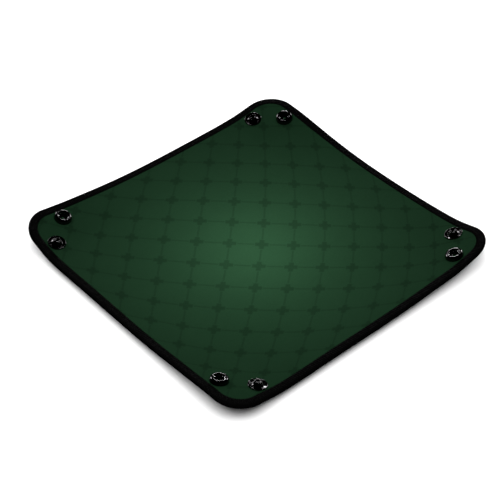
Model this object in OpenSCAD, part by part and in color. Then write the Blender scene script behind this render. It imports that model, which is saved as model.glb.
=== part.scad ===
/* [Mat] */
// Side of the square mat, laid flat, edging included
mat_side = 280; // [260:5:320]
// Radius of the mat's rounded corners
corner_r = 25; // [20:1:30]
// Thickness of the printed cloth
cloth_t = 0.6; // [0.4:0.1:0.8]
// Thickness of the foam rubber base under the cloth
base_t = 2.4; // [2:0.1:2.6]

/* [Stitched edging] */
// Width of the edging on the upper and lower face
edge_w = 7; // [5:0.5:8]
// Thickness of the thread over the mat
edge_t = 0.6; // [0.4:0.1:0.8]

/* [Folds] */
// Height of a wall, from the mat's edge to the fold line
wall_h = 40; // [39:0.5:42]
// Clear gap between the faces of a pinched corner
pinch_gap = 4.6; // [4.6:0.1:5]
// Upward tilt of the walls while the mat lies open
rest_tilt = 11; // [4:1:14]
// Upward turn of a corner beyond its wall's tilt
rest_curl = 11; // [4:1:14]

/* [Snaps] */
// Distance from a snap's centre to the far one of its two edges
snap_far = 35.5; // [34:0.5:36]
// Distance from a snap's centre to the near one of its two edges
snap_near = 15.5; // [15:0.5:17]
// Diameter of the snaps' flanges and caps
snap_d = 15; // [14:0.5:15]
// Diameter of the stud's head
head_d = 6.8; // [6.2:0.1:7]

/* [Hidden] */
$fn = 64;

// Sheet: whole thickness, its middle plane and half the mat's side
sheet_t = cloth_t + base_t;
mid = sheet_t / 2;
half = mat_side / 2;

// Fold lines. Each wall folds at fold_at from the centre. A pinched corner's two
// faces lie side by side, so the wall ends stop pinch_shift before the floor's corner.
fold_at = half - wall_h;
pinch_shift = (pinch_gap + sheet_t) / sqrt(2);
wall_end = fold_at - pinch_shift;

// Setbacks of the stiff panels from their fold lines
square_setback = mid + 0.2;
flap_setback = 1;
pinch_setback = 0.3;
corner_setback = 2;

// The loose seam between a stud flap and the next wall opens towards the mat's edge
wall_seam_in = 1.8;
wall_seam_out = 5;
flap_seam_in = 1.2;
flap_seam_out = 2.3;

// Snap stack, heights measured from the face that each piece sits on
hole_d = 3.8;
tube_d = 3.6;
flange_t = 0.7;
rim_t = 0.3;
rim_w = 0.6;
head_h = 2.7;
neck_d = head_d - 0.7;
socket_h = 3.8;
socket_floor_t = 0.5;
socket_body_d = snap_d - 3.6;
socket_bore_d = head_d + 1.2;
spring_wire = 0.7;
spring_z = 2.3;
spring_slack = 0.1;
flare_t = 0.25;
flare_d = 5.4;
dome_steps = 8;
cap_h = 1.6;
eyelet_d = snap_d - 3;
eyelet_h = 0.9;
socket_at = [half - snap_near, half - snap_far, 0];
stud_at = [half - snap_far, half - snap_near, 0];

cloth_colour = [0.12, 0.27, 0.17];
base_colour = [0.06, 0.06, 0.06];
edging_colour = [0.02, 0.02, 0.02];
metal_colour = [0.24, 0.24, 0.26];

// ---- Places ----

module turn(pivot, angles) {
    translate(pivot) rotate(angles) translate(-pivot) children();
}

// side: 0 right, 1 back, 2 left, 3 front
module on_wall(side) {
    rotate([0, 0, 90 * side])
        turn([fold_at, 0, mid], [0, -rest_tilt, 0]) children();
}

// Corner 1 is between the right and the back wall, and the rest follow anticlockwise
module on_corner(number) {
    on_wall(number - 1)
        turn([fold_at, wall_end, mid], [rest_curl, 0, 0]) children();
}

// ---- Outlines, in the flat mat ----

module mat_outline(inset) {
    r = corner_r - inset;
    reach = half - inset;
    square([2 * reach, 2 * (reach - r)], center = true);
    square([2 * (reach - r), 2 * reach], center = true);
    for (x = [-1, 1], y = [-1, 1])
        translate([x * (reach - r), y * (reach - r)]) circle(r);
}

module floor_region() {
    square(2 * (fold_at - square_setback), center = true);
}

module wall_region() {
    polygon([
        [fold_at + square_setback, -(wall_end - wall_seam_in)],
        [half, -(wall_end - wall_seam_out)],
        [half, wall_end - flap_setback],
        [fold_at + square_setback, wall_end - flap_setback]
    ]);
}

module socket_flap_region() {
    start = fold_at + corner_setback;
    slip = pinch_setback * sqrt(2);
    polygon([
        [start, wall_end + flap_setback],
        [half, wall_end + flap_setback],
        [half, half - slip],
        [start, start - slip]
    ]);
}

module stud_flap_region() {
    start = fold_at + corner_setback;
    slip = pinch_setback * sqrt(2);
    polygon([
        [wall_end + flap_seam_in, start],
        [start - slip, start],
        [half - slip, half],
        [wall_end + flap_seam_out, half]
    ]);
}

// ---- Layers of the mat, cut to the region given as a child ----

module cloth_layer() {
    color(cloth_colour) translate([0, 0, base_t]) linear_extrude(cloth_t)
        intersection() {
            mat_outline(edge_t);
            children();
        }
}

module base_layer() {
    color(base_colour) linear_extrude(base_t)
        intersection() {
            mat_outline(edge_t);
            children();
        }
}

// Thread wrapped round the rim: a channel that holds both layers
module edging_layer() {
    color(edging_colour) difference() {
        translate([0, 0, -edge_t]) linear_extrude(sheet_t + 2 * edge_t)
            intersection() {
                difference() {
                    mat_outline(0);
                    mat_outline(edge_w);
                }
                children();
            }
        linear_extrude(sheet_t) mat_outline(edge_t);
    }
}

module snap_hole(at) {
    translate(at) translate([0, 0, -1]) cylinder(d = hole_d, h = sheet_t + 2);
}

module floor_cloth() { cloth_layer() floor_region(); }
module floor_base() { base_layer() floor_region(); }
module wall_cloth(side) { on_wall(side) cloth_layer() wall_region(); }
module wall_base(side) { on_wall(side) base_layer() wall_region(); }
module wall_edging(side) { on_wall(side) edging_layer() wall_region(); }

module socket_flap_cloth(number) {
    on_corner(number) difference() {
        cloth_layer() socket_flap_region();
        snap_hole(socket_at);
    }
}

module socket_flap_base(number) {
    on_corner(number) difference() {
        base_layer() socket_flap_region();
        snap_hole(socket_at);
    }
}

module socket_flap_edging(number) { on_corner(number) edging_layer() socket_flap_region(); }

module stud_flap_cloth(number) {
    on_corner(number) difference() {
        cloth_layer() stud_flap_region();
        snap_hole(stud_at);
    }
}

module stud_flap_base(number) {
    on_corner(number) difference() {
        base_layer() stud_flap_region();
        snap_hole(stud_at);
    }
}

module stud_flap_edging(number) { on_corner(number) edging_layer() stud_flap_region(); }

// ---- Snaps ----

// Female half: a pressed flange and a raised collar, grooved inside for the spring
module socket(number) {
    groove_d = socket_bore_d + spring_wire + spring_slack;
    groove_h = spring_wire + spring_slack;
    color(metal_colour) on_corner(number) translate(socket_at) translate([0, 0, sheet_t])
        difference() {
            union() {
                cylinder(d = snap_d, h = flange_t);
                cylinder(d = socket_body_d, h = socket_h);
            }
            translate([0, 0, -1]) cylinder(d = hole_d, h = socket_h);
            translate([0, 0, socket_floor_t]) cylinder(d = socket_bore_d, h = socket_h);
            translate([0, 0, spring_z - groove_h / 2]) cylinder(d = groove_d, h = groove_h);
        }
}

// Split ring of round wire, drawn opened by the stud
module socket_spring(number) {
    split = 1.2;
    color("silver") on_corner(number) translate(socket_at)
        translate([0, 0, sheet_t + spring_z])
            difference() {
                rotate_extrude() translate([socket_bore_d / 2, 0]) circle(d = spring_wire, $fn = 24);
                translate([0, -split / 2, -spring_wire])
                    cube([socket_bore_d, split, 2 * spring_wire]);
            }
}

// Half outline of a dome that bulges down by rise below its rim, from the axis outwards
function dome_points(d, rise) = [
    for (i = [0:dome_steps])
        [d / 2 * sin(90 * i / dome_steps), -rim_t - rise * cos(90 * i / dome_steps)]
];

// Domed disc under the mat, with a tube up to tube_top and a flare on top of it
module rivet(d, rise, tube_top) {
    rotate_extrude() polygon(concat(dome_points(d, rise), [
        [d / 2, 0],
        [tube_d / 2, 0],
        [tube_d / 2, tube_top],
        [flare_d / 2, tube_top],
        [flare_d / 2, tube_top + flare_t],
        [0, tube_top + flare_t]
    ]));
}

// Cap on the underside, whose tube holds the socket
module socket_cap(number) {
    color(metal_colour) on_corner(number) translate(socket_at)
        rivet(snap_d, cap_h - rim_t, sheet_t + socket_floor_t);
}

// Male half: a flange with a rolled rim, and a head with a neck under it
module stud(number) {
    color(metal_colour) on_corner(number) translate(stud_at) translate([0, 0, sheet_t])
        rotate_extrude() polygon([
            [hole_d / 2, 0],
            [snap_d / 2, 0],
            [snap_d / 2, flange_t + rim_t],
            [snap_d / 2 - rim_w, flange_t + rim_t],
            [snap_d / 2 - 2 * rim_w, flange_t],
            [neck_d / 2, flange_t],
            [neck_d / 2, flange_t + 0.3 * head_h],
            [head_d / 2, flange_t + 0.6 * head_h],
            [head_d / 2, flange_t + 0.8 * head_h],
            [neck_d / 2, flange_t + head_h],
            [hole_d / 2, flange_t + head_h]
        ]);
}

// Eyelet on the underside, whose tube fills the stud and is flared over its head
module stud_eyelet(number) {
    color(metal_colour) on_corner(number) translate(stud_at)
        rivet(eyelet_d, eyelet_h - rim_t, sheet_t + flange_t + head_h);
}

floor_cloth();
floor_base();
wall_cloth(0);  // right_wall_cloth
wall_base(0);  // right_wall_base
wall_edging(0);  // right_wall_edging
wall_cloth(1);  // back_wall_cloth
wall_base(1);  // back_wall_base
wall_edging(1);  // back_wall_edging
wall_cloth(2);  // left_wall_cloth
wall_base(2);  // left_wall_base
wall_edging(2);  // left_wall_edging
wall_cloth(3);  // front_wall_cloth
wall_base(3);  // front_wall_base
wall_edging(3);  // front_wall_edging
socket_flap_cloth(1);  // socket_flap_1_cloth
socket_flap_base(1);  // socket_flap_1_base
socket_flap_edging(1);  // socket_flap_1_edging
socket_flap_cloth(2);  // socket_flap_2_cloth
socket_flap_base(2);  // socket_flap_2_base
socket_flap_edging(2);  // socket_flap_2_edging
socket_flap_cloth(3);  // socket_flap_3_cloth
socket_flap_base(3);  // socket_flap_3_base
socket_flap_edging(3);  // socket_flap_3_edging
socket_flap_cloth(4);  // socket_flap_4_cloth
socket_flap_base(4);  // socket_flap_4_base
socket_flap_edging(4);  // socket_flap_4_edging
stud_flap_cloth(1);  // stud_flap_1_cloth
stud_flap_base(1);  // stud_flap_1_base
stud_flap_edging(1);  // stud_flap_1_edging
stud_flap_cloth(2);  // stud_flap_2_cloth
stud_flap_base(2);  // stud_flap_2_base
stud_flap_edging(2);  // stud_flap_2_edging
stud_flap_cloth(3);  // stud_flap_3_cloth
stud_flap_base(3);  // stud_flap_3_base
stud_flap_edging(3);  // stud_flap_3_edging
stud_flap_cloth(4);  // stud_flap_4_cloth
stud_flap_base(4);  // stud_flap_4_base
stud_flap_edging(4);  // stud_flap_4_edging
socket(1);  // socket_1
socket(2);  // socket_2
socket(3);  // socket_3
socket(4);  // socket_4
socket_spring(1);  // socket_spring_1
socket_spring(2);  // socket_spring_2
socket_spring(3);  // socket_spring_3
socket_spring(4);  // socket_spring_4
socket_cap(1);  // socket_cap_1
socket_cap(2);  // socket_cap_2
socket_cap(3);  // socket_cap_3
socket_cap(4);  // socket_cap_4
stud(1);  // stud_1
stud(2);  // stud_2
stud(3);  // stud_3
stud(4);  // stud_4
stud_eyelet(1);  // stud_eyelet_1
stud_eyelet(2);  // stud_eyelet_2
stud_eyelet(3);  // stud_eyelet_3
stud_eyelet(4);  // stud_eyelet_4
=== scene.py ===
import math

import bpy
import numpy as np
from mathutils import Matrix, Vector
from mathutils.geometry import delaunay_2d_cdt


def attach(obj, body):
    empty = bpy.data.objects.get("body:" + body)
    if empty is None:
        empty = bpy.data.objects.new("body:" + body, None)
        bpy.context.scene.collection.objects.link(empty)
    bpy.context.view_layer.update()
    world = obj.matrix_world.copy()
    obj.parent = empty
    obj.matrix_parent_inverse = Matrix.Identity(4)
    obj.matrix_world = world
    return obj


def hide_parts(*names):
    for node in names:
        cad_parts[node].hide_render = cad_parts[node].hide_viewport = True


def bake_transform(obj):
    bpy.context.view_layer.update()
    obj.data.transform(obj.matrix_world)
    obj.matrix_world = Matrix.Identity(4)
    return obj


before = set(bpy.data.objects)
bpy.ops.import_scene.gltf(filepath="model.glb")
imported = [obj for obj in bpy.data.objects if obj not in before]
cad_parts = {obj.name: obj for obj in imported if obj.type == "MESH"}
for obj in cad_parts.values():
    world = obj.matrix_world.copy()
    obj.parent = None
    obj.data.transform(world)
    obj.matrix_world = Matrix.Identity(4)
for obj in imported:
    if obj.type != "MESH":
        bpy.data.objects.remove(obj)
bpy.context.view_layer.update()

# Lengths are in millimetres in the flat mat's own plane, and become metres when a
# mesh is made. Flat coordinates: x and y across the mat, z up from its underside.
MM = 0.001
SIDES = ["right", "back", "left", "front"]

# ---- Sizes of the mat, as in the frame ----
HALF = 140.0
CORNER_R = 25.0
SHEET_T = 3.0
CLOTH_T = 0.6
MID = SHEET_T / 2
BASE_TOP = SHEET_T - CLOTH_T
EDGE_W = 7.0
EDGE_T = 0.6
FOLD = 100.0
PINCH_GAP = 4.6
WALL_END = FOLD - (PINCH_GAP + SHEET_T) / math.sqrt(2)
REST_TILT = 11.0
REST_CURL = 11.0
SNAP_FAR = 35.5
SNAP_NEAR = 15.5
ARC_AT = HALF - CORNER_R
FLAP_MID = FOLD + 20.0

# ---- How the soft sheet differs from the stiff panels ----
# Each wall sags between its corners by an angle in degrees. Past the snaps, the tips of
# corners 1 and 3 rise a little more than the stiff ones, and those of 2 and 4 lie lower.
# That starts TIP_START outwards of the floor's corner and is full TIP_REACH further out.
WALL_SAG = [4.0, 9.0, 6.5, 4.0]
TIP_RISE = [1.7, -3.2, 1.7, -3.6]
TIP_START = 20.0
TIP_REACH = 26.0
# How far each corner leans along its panels' normals: its socket side rises, its stud
# side drops, and the walls beside it follow over a short stretch.
CORNER_LEAN = [1.5, 2.6, 2.6, 2.6]
LEAN_FADE = 45.0
CREASE_SOFTNESS = 7.0

# Half widths of the strips that bend: a wall's fold, a flap's crease and the pinch
BEND = 4.0
FLAP_BEND = 3.0
PINCH_BEND = 3.5
# Radius of the floor's round ears, which the flaps are cut clear of. When the corners are
# pinched the sheet opens a little there.
RELIEF = 4.5
# Angle round the rim's corner at which the edging passes from socket flap to stud flap
PINCH_CUT = 32.0


# =====================================================================
# The shape of the open mat
# =====================================================================

def turned(pivot, axis, degrees):
    """A turn about an axis through pivot, as a 4x4 array."""
    there = Matrix.Translation(Vector(pivot))
    turn = Matrix.Rotation(math.radians(degrees), 4, Vector(axis))
    return np.array(there @ turn @ there.inverted())


def moved(matrix, points):
    """An array of points placed by a 4x4 array."""
    return points @ matrix[:3, :3].T + matrix[:3, 3]


WALL_PLACE = turned((FOLD, 0, MID), (0, -1, 0), REST_TILT)
CORNER_PLACE = WALL_PLACE @ turned((FOLD, WALL_END, MID), (1, 0, 0), REST_CURL)


def quarter_turn(k):
    """A turn of the whole mat by k quarters, as a 4x4 array."""
    return np.array(Matrix.Rotation(math.radians(90 * k), 4, "Z"))


def turned_xy(x, y, k):
    """Flat coordinates turned by k quarter turns."""
    for _ in range(k % 4):
        x, y = -y, x
    return x, y


def creased(x, y):
    """Where the middle of the sheet lies at rest, with sharp folds."""
    level = np.full_like(x, MID)
    out = np.stack([x, y, level], 1)
    for k in range(4):
        u, v = turned_xy(x, y, -k)
        flat = np.stack([u, v, level], 1)
        wall = (u > FOLD) & (v > -WALL_END) & (v <= WALL_END)
        corner = (np.maximum(u, v) > FOLD) & (np.minimum(u, v) > WALL_END)
        on_wall = moved(WALL_PLACE, flat)
        sag = math.sin(math.radians(WALL_SAG[k])) * (1 - (v / WALL_END) ** 2)
        on_wall[:, 2] -= (u - FOLD) * sag
        out_u, out_v = (np.clip(w - FOLD, 0, None) / (HALF - FOLD) for w in (u, v))
        to_end = (np.clip(WALL_END - w, 0, None) for w in (v, -v))
        to_next, to_last = (np.exp(-(gap / LEAN_FADE) ** 2) for gap in to_end)
        lean = out_u * (CORNER_LEAN[k] * to_next - CORNER_LEAN[k - 1] * to_last)
        on_wall += lean[:, None] * WALL_PLACE[:3, 2]
        on_corner = moved(CORNER_PLACE, flat)
        outward = (u + v) / math.sqrt(2) - math.sqrt(2) * FOLD
        outward = np.clip((outward - TIP_START) / TIP_REACH, 0, None)
        lift = TIP_RISE[k] * outward ** 2 + CORNER_LEAN[k] * (out_u - out_v)
        on_corner += lift[:, None] * CORNER_PLACE[:3, 2]
        back = quarter_turn(k)
        out[wall] = moved(back, on_wall)[wall]
        out[corner] = moved(back, on_corner)[corner]
    return out


GRID_STEP = 1.0
GRID_REACH = 150.0
# Offsets of the softening samples, as shares of CREASE_SOFTNESS
SOFTENING = [-1.6, -0.8, 0.0, 0.8, 1.6]


def make_surface():
    """The softened sheet: positions and normals of its middle on a fine grid."""
    line = np.arange(-GRID_REACH, GRID_REACH + GRID_STEP / 2, GRID_STEP)
    x, y = (a.ravel() for a in np.meshgrid(line, line, indexing="ij"))
    offsets = np.array(SOFTENING) * CREASE_SOFTNESS
    weights = np.exp(-0.5 * (offsets / CREASE_SOFTNESS) ** 2)
    weights /= weights.sum()
    place = np.zeros((len(x), 3))
    for dx, wx in zip(offsets, weights):
        for dy, wy in zip(offsets, weights):
            place += wx * wy * creased(x + dx, y + dy)
    place = place.reshape(len(line), len(line), 3)
    across = np.gradient(place, axis=0)
    along = np.gradient(place, axis=1)
    normal = np.cross(across, along)
    normal /= np.linalg.norm(normal, axis=2)[:, :, None]
    return place, normal


SURFACE, NORMALS = make_surface()


def looked_up(field, x, y):
    """Bilinear value of a field of the grid at flat points."""
    gx, gy = ((np.asarray(a, float) + GRID_REACH) / GRID_STEP for a in (x, y))
    last = field.shape[0] - 2
    i, j = (np.clip(g.astype(int), 0, last) for g in (gx, gy))
    fx, fy = (gx - i)[:, None], (gy - j)[:, None]
    low = field[i, j] * (1 - fx) + field[i + 1, j] * fx
    high = field[i, j + 1] * (1 - fx) + field[i + 1, j + 1] * fx
    return low * (1 - fy) + high * fy


def on_sheet(x, y, z):
    """Flat points to their places at rest, in millimetres."""
    x, y, z = (np.atleast_1d(np.asarray(a, float)) for a in (x, y, z))
    return looked_up(SURFACE, x, y) + (z - MID)[:, None] * looked_up(NORMALS, x, y)


# =====================================================================
# Materials
# =====================================================================

class Shader:
    """A material with short calls for its nodes."""

    def __init__(self, name):
        self.material = bpy.data.materials.new(name)
        self.material.use_nodes = True
        self.tree = self.material.node_tree
        self.surface = self.tree.nodes["Principled BSDF"]

    def node(self, kind, **settings):
        """A new node of a kind, with some of its properties set."""
        made = self.tree.nodes.new(kind)
        for key, value in settings.items():
            setattr(made, key, value)
        return made

    def put(self, socket, value):
        """Link an output to a socket, or set the socket to a number."""
        if isinstance(value, bpy.types.NodeSocket):
            self.tree.links.new(value, socket)
        else:
            socket.default_value = value

    def math(self, operation, *values, clamp=False):
        made = self.node("ShaderNodeMath", operation=operation, use_clamp=clamp)
        for socket, value in zip(made.inputs, values):
            self.put(socket, value)
        return made.outputs[0]

    def attribute(self, name):
        """The x, y and z of a stored vector attribute, and the vector itself."""
        read = self.node("ShaderNodeAttribute", attribute_name=name)
        split = self.node("ShaderNodeSeparateXYZ")
        self.put(split.inputs[0], read.outputs["Vector"])
        return split.outputs[0], split.outputs[1], split.outputs[2], read.outputs["Vector"]

    def vector(self, x, y, z):
        made = self.node("ShaderNodeCombineXYZ")
        for socket, value in zip(made.inputs, (x, y, z)):
            self.put(socket, value)
        return made.outputs[0]

    def noise(self, vector, scale, detail=3.0):
        made = self.node("ShaderNodeTexNoise")
        self.put(made.inputs["Vector"], vector)
        made.inputs["Scale"].default_value = scale
        made.inputs["Detail"].default_value = detail
        return made.outputs["Fac"]

    def falling(self, value, full, none):
        """1 where value is under full, 0 where it is over none, smooth between."""
        made = self.node("ShaderNodeMapRange", interpolation_type="SMOOTHSTEP")
        self.put(made.inputs["Value"], value)
        made.inputs["From Min"].default_value = full
        made.inputs["From Max"].default_value = none
        made.inputs["To Min"].default_value = 1.0
        made.inputs["To Max"].default_value = 0.0
        return made.outputs[0]

    def tinted(self, colour, amount):
        """A constant colour scaled by a varying amount."""
        made = self.node("ShaderNodeVectorMath", operation="SCALE")
        made.inputs[0].default_value = colour
        self.put(made.inputs["Scale"], amount)
        return made.outputs[0]

    def bump(self, height, strength, distance):
        made = self.node("ShaderNodeBump")
        made.inputs["Strength"].default_value = strength
        made.inputs["Distance"].default_value = distance
        self.put(made.inputs["Height"], height)
        self.put(self.surface.inputs["Normal"], made.outputs[0])

    def set(self, **values):
        """Inputs of the surface shader by name, with _ for each space."""
        for name, value in values.items():
            self.put(self.surface.inputs[name.replace("_", " ")], value)


def repeating(s, length, pitch):
    """A sine wave of a length, from -1 to 1."""
    return s.math("SINE", s.math("MULTIPLY", length, 2 * math.pi / pitch))


# The print: a lattice along the mat's diagonals, brightest near the middle. Its cells
# shrink outwards, more across a row than along it; its rows bow and start off centre.
CELL = 0.02636
SHRINK_ALONG = 2.6
SHRINK_ACROSS = 8.6
START = (-0.00545, 0.00084)
BOW = (0.45, -0.24)
GLOW_AT = -0.008
GLOW_R = 0.070
GLOW_FLOOR = 0.0075
GLOW_PEAK = 0.0436
PRINT_TINT = (0.315, 1.0, 0.455)
# How much darker the lines and the ornaments are, and their shapes as shares of a cell
LINE_DEPTH = 0.18
ORNAMENT_DEPTH = 0.28
LINE_HALF = 0.034
LINE_FROM = 0.24
ARM_HALF = 0.085
ARM_TO = 0.21
HEART = 0.14
KNIT_PITCH = 0.00055


def printed_cloth():
    s = Shader("printed_cloth")
    x, y, _, flat = s.attribute("flat")
    p = s.math("MULTIPLY", s.math("ADD", x, y), math.sqrt(0.5))
    q = s.math("MULTIPLY", s.math("SUBTRACT", y, x), math.sqrt(0.5))
    p2, q2 = (s.math("MULTIPLY", c, c) for c in (p, q))
    r2 = s.math("ADD", p2, q2)

    def from_line(c, along2, across2, start, bow):
        """Distance from the nearest line of the lattice, in cells."""
        shrink = s.math("MULTIPLY_ADD", across2, SHRINK_ACROSS, 1.0)
        shrink = s.math("MULTIPLY_ADD", along2, SHRINK_ALONG, shrink)
        place = s.math("MULTIPLY_ADD", c, shrink, s.math("MULTIPLY_ADD", r2, bow, start))
        place = s.math("DIVIDE", place, CELL)
        return s.math("ABSOLUTE", s.math("SUBTRACT", place, s.math("ROUND", place)))

    a = from_line(p, p2, q2, START[0], BOW[0])
    b = from_line(q, q2, p2, START[1], BOW[1])

    def bar(thin, long, half_width, start, stop):
        """A bar from start to stop along one line, thin across it."""
        narrow = s.falling(thin, half_width * 0.5, half_width * 1.3)
        before = s.falling(long, stop - 0.02, stop + 0.02)
        after = s.math("SUBTRACT", 1.0, s.falling(long, start - 0.02, start + 0.02))
        return s.math("MULTIPLY", narrow, s.math("MULTIPLY", before, after))

    lines, arms = (
        s.math("MAXIMUM", bar(a, b, *shape), bar(b, a, *shape))
        for shape in ((LINE_HALF, LINE_FROM, 0.6), (ARM_HALF, -0.1, ARM_TO))
    )
    heart = s.falling(s.math("ADD", a, b), HEART, 1.5 * HEART)
    ornament = s.math("MAXIMUM", arms, heart)
    darker = s.math("MULTIPLY_ADD", lines, LINE_DEPTH, s.math("MULTIPLY", ornament, ORNAMENT_DEPTH))

    off = s.math("SUBTRACT", q, GLOW_AT)
    glow = s.math("MULTIPLY_ADD", off, off, p2)
    glow = s.math("MULTIPLY_ADD", glow, 1 / GLOW_R ** 2, 1.0)
    glow = s.math("ADD", s.math("DIVIDE", GLOW_PEAK, glow), GLOW_FLOOR)
    grain = s.math("MULTIPLY_ADD", s.noise(flat, 1500.0), 0.22, 0.89)
    blotch = s.math("MULTIPLY_ADD", s.noise(flat, 60.0), 0.10, 0.95)
    amount = s.math("MULTIPLY", glow, s.math("SUBTRACT", 1.0, darker))
    amount = s.math("MULTIPLY", amount, s.math("MULTIPLY", grain, blotch))
    s.set(Base_Color=s.tinted(PRINT_TINT, amount), Roughness=0.85)
    s.set(Specular_IOR_Level=0.004)
    knit = s.math("MULTIPLY", repeating(s, x, KNIT_PITCH), repeating(s, y, KNIT_PITCH * 1.3))
    s.bump(s.math("MULTIPLY_ADD", s.noise(flat, 2600.0), 1.2, knit), 0.35, 0.00006)
    return s.material


WAFFLE_PITCH = 0.0034


def foam_rubber():
    s = Shader("foam_rubber")
    x, y, _, flat = s.attribute("flat")
    waffle = s.math("MULTIPLY", repeating(s, x, WAFFLE_PITCH), repeating(s, y, WAFFLE_PITCH))
    speckle = s.noise(flat, 900.0)
    shade = s.math("MULTIPLY_ADD", speckle, 0.010, 0.009)
    s.set(Base_Color=s.tinted((1.0, 1.0, 1.02), shade), Specular_IOR_Level=0.3)
    s.set(Roughness=s.math("MULTIPLY_ADD", speckle, 0.2, 0.6))
    s.bump(s.math("MULTIPLY_ADD", speckle, 0.35, waffle), 0.55, 0.00012)
    return s.material


TWIST_PITCH = 0.00042


def edging_thread():
    s = Shader("edging_thread")
    along, across, strand, _ = s.attribute("thread")
    fibre = s.noise(s.vector(s.math("MULTIPLY", along, 9.0), across, strand), 420.0)
    twist = repeating(s, s.math("MULTIPLY_ADD", across, 0.8, along), TWIST_PITCH)
    shade = s.math("MULTIPLY_ADD", fibre, 0.0014, 0.0001)
    s.set(Base_Color=s.tinted((1.0, 0.95, 1.0), shade), Specular_IOR_Level=0.005)
    s.set(Roughness=s.math("MULTIPLY_ADD", fibre, 0.25, 0.35))
    s.bump(s.math("MULTIPLY_ADD", fibre, 1.5, twist), 0.4, 0.00005)
    return s.material


def snap_metal(name, colour, roughness):
    s = Shader(name)
    x, y, z, where = s.attribute("local")
    r = s.math("SQRT", s.math("MULTIPLY_ADD", x, x, s.math("MULTIPLY", y, y)))
    turned_marks = s.noise(s.vector(r, z, 0.0), 5200.0)
    wear = s.noise(where, 500.0)
    s.set(Base_Color=s.tinted(colour, s.math("MULTIPLY_ADD", wear, 0.3, 0.85)))
    s.set(Roughness=s.math("MULTIPLY_ADD", wear, 0.08, roughness), Metallic=1.0)
    s.bump(turned_marks, 0.10, 0.00002)
    return s.material


CLOTH = printed_cloth()
FOAM = foam_rubber()
THREAD = edging_thread()
GUNMETAL = snap_metal("black_nickel", (0.075, 0.072, 0.075), 0.08)
WIRE = snap_metal("spring_wire", (0.55, 0.55, 0.56), 0.2)


# =====================================================================
# Meshes
# =====================================================================

def make_object(name, points, faces, material, attribute, values, sharp=40.0):
    """A mesh object from millimetre points, with a stored vector for its material."""
    mesh = bpy.data.meshes.new(name)
    mesh.from_pydata((np.asarray(points) * MM).tolist(), [], faces)
    mesh.materials.append(material)
    stored = mesh.attributes.new(attribute, "FLOAT_VECTOR", "POINT")
    stored.data.foreach_set("vector", (np.asarray(values) * MM).astype(np.float32).ravel())
    mesh.polygons.foreach_set("use_smooth", [True] * len(mesh.polygons))
    mesh.set_sharp_from_angle(angle=math.radians(sharp))
    mesh.validate()
    made = bpy.data.objects.new(name, mesh)
    bpy.context.scene.collection.objects.link(made)
    return made


def arc(cx, cy, r, start, stop):
    """Points of an arc, in degrees, about a millimetre apart."""
    count = max(3, math.ceil(abs(math.radians(stop - start)) * r) + 1)
    angles = np.radians(np.linspace(start, stop, count))
    return [(cx + r * math.cos(t), cy + r * math.sin(t)) for t in angles]


def pinch_cut(r):
    """The angle at which an arc of radius r, centred on the diagonal, meets the pinch strip."""
    return 45.0 - math.degrees(math.asin(PINCH_BEND / r))


def wall_outline(inset):
    """Wall 0's panel, from one corner's open seam to the other's crease."""
    end = WALL_END - FLAP_BEND
    inner = FOLD - BEND
    outer = HALF - inset
    return [(inner, -WALL_END), (outer, -WALL_END), (outer, end), (inner, end)]


def socket_flap_outline(inset):
    """Corner 0's socket flap: its wall side, rim and the arc round the floor's ear."""
    r = CORNER_R - inset
    side = WALL_END - FLAP_BEND
    rim = [(FOLD, side), (HALF - inset, side)] + arc(ARC_AT, ARC_AT, r, 0, pinch_cut(r))
    return rim + arc(FOLD, FOLD, RELIEF, pinch_cut(RELIEF), -90)


def stud_flap_outline(inset):
    """Corner 0's stud flap, which holds the whole pinch strip."""
    r = CORNER_R - inset
    rim = arc(ARC_AT, ARC_AT, r, pinch_cut(r), 90) + [(WALL_END, HALF - inset), (WALL_END, FOLD)]
    return rim + arc(FOLD, FOLD, RELIEF, 180, pinch_cut(RELIEF))


def floor_outline():
    """The floor between the bending strips, with a round ear at each corner."""
    side = WALL_END - FLAP_BEND
    inner = FOLD - BEND
    part = [(inner, side), (FOLD, side)] + arc(FOLD, FOLD, RELIEF, -90, 180)
    part += [(WALL_END, FOLD), (WALL_END, inner)]
    return [turned_xy(x, y, k) for k in range(4) for x, y in part]


def resampled(outline, step):
    """The closed outline with its long sides divided."""
    points = []
    for (ax, ay), (bx, by) in zip(outline, outline[1:] + outline[:1]):
        length = math.hypot(bx - ax, by - ay)
        if length < 1e-6:
            continue
        count = max(1, math.ceil(length / step))
        points += [(ax + (bx - ax) * i / count, ay + (by - ay) * i / count) for i in range(count)]
    return np.array(points)


def inside(points, outline):
    """Which points lie inside a closed outline."""
    x, y = points[:, 0], points[:, 1]
    odd = np.zeros(len(points), bool)
    for (ax, ay), (bx, by) in zip(outline, np.roll(outline, -1, 0)):
        if ay == by:
            continue
        crosses = (ay > y) != (by > y)
        odd ^= crosses & (x < (bx - ax) * (y - ay) / (by - ay) + ax)
    return odd


def grid_points(low, high, step_x, step_y):
    """Points of a regular grid from low to high."""
    xs = np.arange(low[0], high[0], step_x)
    ys = np.arange(low[1], high[1], step_y)
    return np.stack([a.ravel() for a in np.meshgrid(xs, ys)], 1)


BAND_STEP = 2.0


def band_points(middle, along, half_width, half_length, fine):
    """Closely set rows of points along a strip that bends."""
    along = np.array(along, float) / np.linalg.norm(along)
    across = np.array([-along[1], along[0]])
    high = (half_length, half_width + fine / 2)
    rows = grid_points((-half_length, -half_width), high, BAND_STEP, fine)
    return np.array(middle) + rows[:, :1] * along + rows[:, 1:] * across


# Longest side on a rim, and the gaps kept free round a band's points and along a rim
RIM_STEP = 1.5
BAND_GAP = 1.0
RIM_GAP = 0.6


def nearest(points, others):
    """Each point's distance to the nearest of some other points."""
    parts = np.array_split(points, 8)
    return np.concatenate([np.linalg.norm(p[:, None] - others[None], axis=2).min(1) for p in parts])


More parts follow.
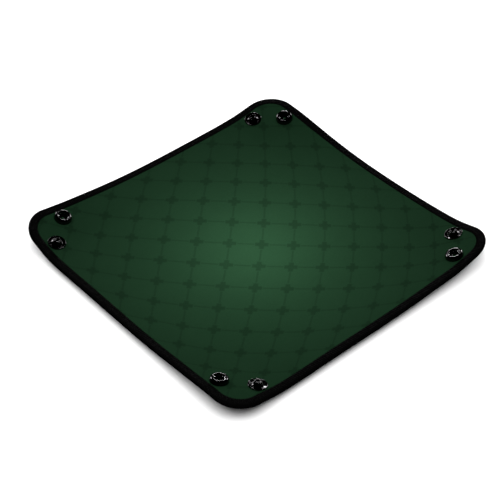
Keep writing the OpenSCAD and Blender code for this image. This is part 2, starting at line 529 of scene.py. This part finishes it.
def triangulated(outline, step, band=None):
    """Vertices and triangles that fill an outline, finer along a band."""
    rim = resampled(outline, min(step, RIM_STEP))
    low, high = rim.min(0), rim.max(0)
    fill = grid_points(low + step / 2, high, step, step)
    if band is not None:
        fill = np.concatenate([fill[nearest(fill, band) > BAND_GAP], band])
    fill = fill[inside(fill, rim)]
    fill = fill[nearest(fill, rim) > RIM_GAP]
    points = np.concatenate([rim, fill])
    loop = [(i, (i + 1) % len(rim)) for i in range(len(rim))]
    out = delaunay_2d_cdt([Vector(p) for p in points], loop, [], 1, 1e-5)
    flat = np.array([tuple(v) for v in out[0]])
    triangles = []
    for face in out[2]:
        a, b, c = (flat[i] for i in face[:3])
        up = (b[0] - a[0]) * (c[1] - a[1]) - (b[1] - a[1]) * (c[0] - a[0])
        triangles.append(list(face) if up > 0 else list(reversed(face)))
    return flat, triangles


def slab(name, fill, low, high, material, k=0):
    """A closed layer of the sheet between two heights, turned by k quarter turns."""
    flat, triangles = fill
    x, y = turned_xy(flat[:, 0], flat[:, 1], k)
    count = len(flat)
    levels = [np.full(count, high), np.full(count, low)]
    points = np.concatenate([on_sheet(x, y, z) for z in levels])
    values = np.concatenate([np.stack([x, y, z], 1) for z in levels])
    faces = [list(t) for t in triangles]
    faces += [[i + count for i in reversed(t)] for t in triangles]
    edges = {}
    for t in triangles:
        for a, b in zip(t, t[1:] + t[:1]):
            edges[(a, b)] = (b, a) not in edges
            if (b, a) in edges:
                edges[(b, a)] = False
    faces += [[b, a, a + count, b + count] for (a, b), rim in edges.items() if rim]
    return make_object(name, points, faces, material, "flat", values)


# ---- Stitched edging: thread wrapped round the rim, one rib for each stitch ----

QUARTER_STRAIGHT = 2 * ARC_AT
QUARTER = QUARTER_STRAIGHT + CORNER_R * math.pi / 2
STITCHES = 146
PITCH = QUARTER / STITCHES
# Steps along each stitch, its height, and how far it slants from its middle to its ends
SAMPLES = 8
RIB = 0.42
SLANT = 0.55
# How far a stitch's ends reach past the edging's inner line
TOOTH = 0.8
# Radius of the rounded rim, and where the edging's inner side lies inside the sheet
NOSE = 2.1
HIDDEN = 0.5


def rim_point(s, n):
    """Flat point at distance s along the rim from the start of quarter 0's side, n outwards."""
    k, s = divmod(s, QUARTER)
    if s < QUARTER_STRAIGHT:
        x, y = HALF + n, s - ARC_AT
    else:
        t = (s - QUARTER_STRAIGHT) / CORNER_R
        x, y = ARC_AT + (CORNER_R + n) * math.cos(t), ARC_AT + (CORNER_R + n) * math.sin(t)
    return turned_xy(x, y, int(k))


def edging_section():
    """Closed outline of the edging: place, direction in which a stitch stands out, and
    1 on its outer side or 0 on the side hidden in the sheet."""
    rise = MID + EDGE_T
    flat_n = np.linspace(-EDGE_W, -NOSE, 7)
    top = [(n, SHEET_T + EDGE_T, 0.0, 1.0) for n in flat_n]
    top[0] = (-EDGE_W - 0.15, SHEET_T + 0.12, -0.5, 0.8)
    turn = np.radians(np.linspace(78, -78, 8))
    rounded = [
        (NOSE * (math.cos(t) - 1), MID + rise * math.sin(t), math.cos(t), math.sin(t)) for t in turn
    ]
    bottom = [(n, 2 * MID - z, dn, -dz) for n, z, dn, dz in reversed(top)]
    outer = [(n, z, dn, dz, 1.0) for n, z, dn, dz in top + rounded + bottom]
    low, high = HIDDEN, SHEET_T - HIDDEN
    inner = [(-EDGE_W, low), (-1.6, low), (-1.6, high), (-EDGE_W, high)]
    return outer + [(n, z, 0.0, 0.0, 0.0) for n, z in inner]


def edging(name, start, stop, k):
    """Edging from start to stop along quarter k's rim."""
    section = edging_section()
    count = max(2, round((stop - start) / PITCH * SAMPLES))
    outer = sum(1 for row in section if row[4])
    points, values = [], []
    for s in np.linspace(start, stop, count + 1):
        for i, (n, z, dn, dz, shows) in enumerate(section):
            side = 1 if i < outer else 0
            across = min(i, outer) / outer
            phase = s / PITCH + SLANT * abs(2 * across - 1)
            wobble = 0.10 * math.sin(0.37 * s + 1.3 * k) + 0.07 * math.sin(1.9 * s)
            within = (phase + wobble) % 1.0 * 2 - 1
            roundness = math.sqrt(max(0.0, 1 - within ** 2))
            height = RIB * (roundness - 0.75) * side
            uneven = 1 + 0.25 * math.sin(2.1 * math.floor(phase + wobble) + 0.7 * k)
            reach = TOOTH * roundness - 0.5 if i in (0, outer - 1) else 0
            x, y = rim_point(s, n + dn * height * uneven - reach)
            x, y = turned_xy(x, y, k)
            points.append((x, y, z + dz * height * uneven))
            values.append((s, across * 20.0, math.floor(phase) * 3.0))
    points = np.array(points)
    rows = len(section)
    faces = []
    for j in range(count):
        for i in range(rows):
            a, b = j * rows + i, j * rows + (i + 1) % rows
            faces.append([a, b, b + rows, a + rows])
    faces.append(list(range(rows))[::-1])
    faces.append([count * rows + i for i in range(rows)])
    placed = on_sheet(points[:, 0], points[:, 1], points[:, 2])
    return make_object(name, placed, faces, THREAD, "thread", values, sharp=75.0)


# ---- Snaps: turned metal pieces, with profiles in millimetres from the cloth's surface ----

def snap_frame(k, x, y):
    """Where a snap's pieces sit: their origin is on the cloth, z along its normal."""
    x, y = turned_xy(x, y, k)
    origin = on_sheet(x, y, SHEET_T)[0]
    up = Vector(looked_up(NORMALS, np.array([x]), np.array([y]))[0])
    ahead = Vector((1, 0, 0))
    ahead = (ahead - up * ahead.dot(up)).normalized()
    turn = Matrix((ahead, up.cross(ahead), up)).transposed().to_4x4()
    return np.array(Matrix.Translation(Vector(origin)) @ turn)


def lathe(name, profile, place, material, segments=72, sharp=32.0):
    """A closed outline of (radius, height) points turned about the snap's axis."""
    angles = np.linspace(0, 2 * math.pi, segments, endpoint=False)
    local = np.array([(r * math.cos(t), r * math.sin(t), z) for t in angles for r, z in profile])
    rows = len(profile)
    faces = []
    for j in range(segments):
        ahead = (j + 1) % segments
        for i in range(rows):
            n = (i + 1) % rows
            faces.append([j * rows + i, ahead * rows + i, ahead * rows + n, j * rows + n])
    return make_object(name, moved(place, local), faces, material, "local", local, sharp)


def rounded_path(points, radius, steps=4):
    """A closed outline with each corner replaced by a small curve."""
    out = []
    count = len(points)
    for i, (x, y) in enumerate(points):
        before, after = Vector(points[i - 1]), Vector(points[(i + 1) % count])
        here = Vector((x, y))
        a, b = before - here, after - here
        cut = min(radius, a.length * 0.45, b.length * 0.45)
        start, stop = here + a.normalized() * cut, here + b.normalized() * cut
        for j in range(steps + 1):
            t = j / steps
            spot = start * (1 - t) ** 2 + here * 2 * t * (1 - t) + stop * t ** 2
            out.append((spot.x, spot.y))
    return out


SOCKET_PROFILE = rounded_path([
    (2.0, 0.02), (7.25, 0.02), (7.5, 0.35), (7.2, 0.75), (7.05, 2.4), (6.75, 3.0), (6.1, 3.4),
    (5.3, 3.6), (4.65, 3.45), (4.25, 3.1), (4.05, 2.75), (4.45, 2.65), (4.45, 1.95),
    (4.05, 1.85), (4.05, 0.55), (2.0, 0.5),
], 0.25)
STUD_PROFILE = rounded_path([
    (1.95, 0.02), (7.2, 0.02), (7.5, 0.45), (7.45, 0.95), (7.1, 1.15), (4.75, 0.4),
    (4.3, 0.85), (3.8, 1.15), (3.4, 1.4), (3.25, 1.75), (3.45, 2.25),
    (3.45, 3.2), (3.2, 3.6), (2.95, 3.75), (2.7, 3.68), (2.6, 3.4), (1.95, 3.3),
], 0.25)
CAP_PROFILE = rounded_path([
    (0.05, -4.6), (2.5, -4.52), (4.8, -4.2), (6.6, -3.75), (7.5, -3.25), (7.45, -3.02),
    (1.75, -3.02), (1.75, 0.45), (2.6, 0.56), (2.6, 0.74), (1.2, 0.72), (1.1, -1.5), (0.05, -1.6),
], 0.3)
EYELET_PROFILE = rounded_path([
    (1.25, -3.75), (2.2, -3.9), (4.4, -3.8), (5.8, -3.35), (6.0, -3.02), (1.75, -3.02),
    (1.75, 3.6), (2.35, 3.68), (2.35, 3.8), (1.8, 3.82), (1.3, 3.5), (1.25, 2.8),
], 0.22)
# The spring is drawn opened: its height in the socket, the ring's and the wire's radii
SPRING_Z = 2.3
SPRING_R = 4.02
SPRING_WIRE = 0.34


def ring_spring(name, place):
    """A split ring of round wire with closed ends."""
    turns = np.radians(np.linspace(9, 351, 64))
    around = np.radians(np.linspace(0, 360, 10, endpoint=False))
    local = np.array([
        ((SPRING_R + SPRING_WIRE * math.cos(a)) * math.cos(t),
         (SPRING_R + SPRING_WIRE * math.cos(a)) * math.sin(t),
         SPRING_Z + SPRING_WIRE * math.sin(a))
        for t in turns for a in around
    ])
    rows = len(around)
    faces = [
        [j * rows + i, (j + 1) * rows + i, (j + 1) * rows + n, j * rows + n]
        for j in range(len(turns) - 1) for i in range(rows) for n in [(i + 1) % rows]
    ]
    faces.append(list(range(rows)))
    faces.append([(len(turns) - 1) * rows + i for i in reversed(range(rows))])
    return make_object(name, moved(place, local), faces, WIRE, "local", local, 50.0)


# ---- Soft seam beads, which close the open seam between a stud flap and the next wall ----

def seam_bead(name, k, start, stop, radius, material):
    """A round bead inside the sheet along corner k's open seam."""
    spots = np.linspace(start, stop, max(3, round((stop - start) / 1.5)))
    around = np.radians(np.linspace(0, 360, 16, endpoint=False))
    x = np.array([WALL_END + radius * math.cos(a) for _ in spots for a in around])
    y = np.array([s for s in spots for _ in around])
    z = np.array([MID + radius * math.sin(a) for _ in spots for a in around])
    x, y = turned_xy(x, y, k)
    rows = len(around)
    faces = [
        [j * rows + i, j * rows + n, (j + 1) * rows + n, (j + 1) * rows + i]
        for j in range(len(spots) - 1) for i in range(rows) for n in [(i + 1) % rows]
    ]
    faces.append(list(reversed(range(rows))))
    faces.append([(len(spots) - 1) * rows + i for i in range(rows)])
    values = np.stack([x, y, z], 1)
    name_of = "thread" if material == THREAD else "flat"
    return make_object(name, on_sheet(x, y, z), faces, material, name_of, values, 60.0)


# =====================================================================
# The tray
# =====================================================================


def layers(prefix, fill, k):
    """The cloth and the base of one panel."""
    cloth = slab(f"{prefix}_cloth_soft", fill, BASE_TOP, SHEET_T, CLOTH, k)
    base = slab(f"{prefix}_base_soft", fill, 0.0, BASE_TOP, FOAM, k)
    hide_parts(f"{prefix}_cloth")
    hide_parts(f"{prefix}_base")
    return [cloth, base]


# How far the cloth and base stop short of the rim, under the edging
SHEET_INSET = 1.2
floor_fill = triangulated(floor_outline(), 4.0)
for piece in layers("floor", floor_fill, 0):
    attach(piece, "floor")

wall_band = band_points((FOLD, 0), (0, 1), BEND, HALF, 1.0)
wall_fill = triangulated(wall_outline(SHEET_INSET), 2.5, wall_band)
flap_band = band_points((FLAP_MID, WALL_END), (1, 0), FLAP_BEND, 30, 1.0)
socket_flap_fill = triangulated(socket_flap_outline(SHEET_INSET), 2.0, flap_band)
pinch_band = band_points((FLAP_MID, FLAP_MID), (1, 1), PINCH_BEND, 40, 0.8)
stud_flap_fill = triangulated(stud_flap_outline(SHEET_INSET), 2.0, pinch_band)

# Where the edging is cut, as distances along the rim
WALL_START = ARC_AT - WALL_END
WALL_STOP = ARC_AT + WALL_END - FLAP_BEND
PINCH_START = QUARTER_STRAIGHT + CORNER_R * math.radians(PINCH_CUT)

# The walls, each blended over its fold with the floor
for k, side in enumerate(SIDES):
    wall = f"{side}_wall"
    for piece in layers(wall, wall_fill, k):
        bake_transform(piece)
    rim = edging(f"{wall}_edging_soft", WALL_START, WALL_STOP, k)
    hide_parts(f"{wall}_edging")
    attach(rim, wall)

# The corners: two flaps each, their edging, the open seam's beads and the snap's pieces
for k, side in enumerate(SIDES):
    number = k + 1
    wall = f"{side}_wall"
    next_wall = f"{SIDES[(k + 1) % 4]}_wall"
    socket_flap = f"socket_flap_{number}"
    stud_flap = f"stud_flap_{number}"

    rim = edging(f"{socket_flap}_edging_soft", WALL_STOP, PINCH_START, k)
    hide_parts(f"{socket_flap}_edging")
    for piece in layers(socket_flap, socket_flap_fill, k) + [rim]:
        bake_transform(piece)

    rim = edging(f"{stud_flap}_edging_soft", PINCH_START, QUARTER + WALL_START, k)
    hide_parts(f"{stud_flap}_edging")
    for piece in layers(stud_flap, stud_flap_fill, k) + [rim]:
        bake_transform(piece)

    beads = [
        seam_bead(f"corner_{number}_cloth_seam", k, FOLD + 1, HALF - EDGE_W, MID - 0.04, CLOTH),
        seam_bead(f"corner_{number}_edging_seam", k, HALF - EDGE_W, HALF - 1.5, MID + 0.35, THREAD),
    ]
    for bead in beads:
        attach(bead, next_wall)

    at_socket = snap_frame(k, HALF - SNAP_NEAR, HALF - SNAP_FAR)
    at_stud = snap_frame(k, HALF - SNAP_FAR, HALF - SNAP_NEAR)
    turned_pieces = [
        ("socket", SOCKET_PROFILE, at_socket, socket_flap),
        ("socket_cap", CAP_PROFILE, at_socket, socket_flap),
        ("stud", STUD_PROFILE, at_stud, stud_flap),
        ("stud_eyelet", EYELET_PROFILE, at_stud, stud_flap),
    ]
    for kind, profile, place, body in turned_pieces:
        piece = lathe(f"{kind}_{number}_turned", profile, place, GUNMETAL)
        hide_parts(f"{kind}_{number}")
        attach(piece, body)
    spring = ring_spring(f"socket_spring_{number}_wire", at_socket)
    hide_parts(f"socket_spring_{number}")
    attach(spring, socket_flap)


# =====================================================================
# Floor, light and camera
# =====================================================================

FLOOR_REACH = 6.0
FLOOR_DROP = 0.0004
WORLD_STRENGTH = 0.12


def stage_floor():
    """A pale floor just under the mat, which the metal doesn't mirror."""
    mesh = bpy.data.meshes.new("stage_floor")
    corners = [(FLOOR_REACH * x, FLOOR_REACH * y, 0) for x, y in ((-1, -1), (1, -1), (1, 1), (-1, 1))]
    mesh.from_pydata(corners, [], [(0, 1, 2, 3)])
    s = Shader("stage_floor")
    s.set(Base_Color=(0.93, 0.93, 0.93, 1.0), Roughness=0.9, Specular_IOR_Level=0.0)
    mesh.materials.append(s.material)
    made = bpy.data.objects.new("stage_floor", mesh)
    made.location = (0, 0, -FLOOR_DROP)
    made.visible_glossy = False
    bpy.context.scene.collection.objects.link(made)


def area_light(name, place, target, width, height, power, mirrored=True):
    """A rectangular light of a power in watts, aimed at a target."""
    data = bpy.data.lights.new(name, "AREA")
    data.energy = power
    data.shape = "RECTANGLE"
    data.size = width
    data.size_y = height
    made = bpy.data.objects.new(name, data)
    made.location = place
    made.rotation_euler = (Vector(target) - Vector(place)).to_track_quat("-Z", "Y").to_euler()
    made.visible_glossy = mirrored
    bpy.context.scene.collection.objects.link(made)
    return made


# The camera stands about 1.2 m off, looking down at the mat's front corner
CAMERA_AZIMUTH = 50.5
CAMERA_ELEVATION = 41.75
CAMERA_ROLL = 1.45
CAMERA_DISTANCE = 1.2
CAMERA_LENS = 105.8
CAMERA_SHIFT = (-0.0106, -0.0074)


def make_camera():
    data = bpy.data.cameras.new("camera")
    data.lens = CAMERA_LENS
    data.sensor_width = 36.0
    data.shift_x, data.shift_y = CAMERA_SHIFT
    data.clip_start = 0.05
    made = bpy.data.objects.new("camera", data)
    a, e = math.radians(CAMERA_AZIMUTH), math.radians(CAMERA_ELEVATION)
    back = Vector((math.sin(a) * math.cos(e), -math.cos(a) * math.cos(e), math.sin(e)))
    turn = (-back).to_track_quat("-Z", "Y").to_matrix().to_4x4()
    roll = Matrix.Rotation(math.radians(-CAMERA_ROLL), 4, "Z")
    made.matrix_world = Matrix.Translation(back * CAMERA_DISTANCE) @ turn @ roll
    bpy.context.scene.collection.objects.link(made)
    bpy.context.scene.camera = made


def make_world():
    """A dim white surround, which the metal doesn't mirror."""
    world = bpy.data.worlds.new("studio")
    world.use_nodes = True
    background = world.node_tree.nodes["Background"]
    background.inputs["Color"].default_value = (1, 1, 1, 1)
    background.inputs["Strength"].default_value = WORLD_STRENGTH
    bpy.context.scene.world = world
    world.cycles_visibility.glossy = False


stage_floor()
make_world()
# One broad light overhead, and small ones beyond the mat that the black snaps mirror
MAT_MIDDLE = (0, 0, 0.02)
area_light("overhead", (0, 0, 1.8), (0, 0, 0), 3.2, 3.2, 93.0, mirrored=False)
area_light("left_softbox", (-1.48, 0.04, 0.60), MAT_MIDDLE, 0.5, 0.4, 6.0)
area_light("right_softbox", (-0.39, 1.44, 0.57), MAT_MIDDLE, 0.36, 0.36, 5.5)
area_light("back_softbox", (-1.2, 1.01, 0.30), MAT_MIDDLE, 0.5, 0.2, 6.0)
area_light("high_softbox", (-0.92, 0.76, 1.07), MAT_MIDDLE, 0.15, 0.3, 1.2)
make_camera()
bpy.context.scene.view_settings.view_transform = "Standard"
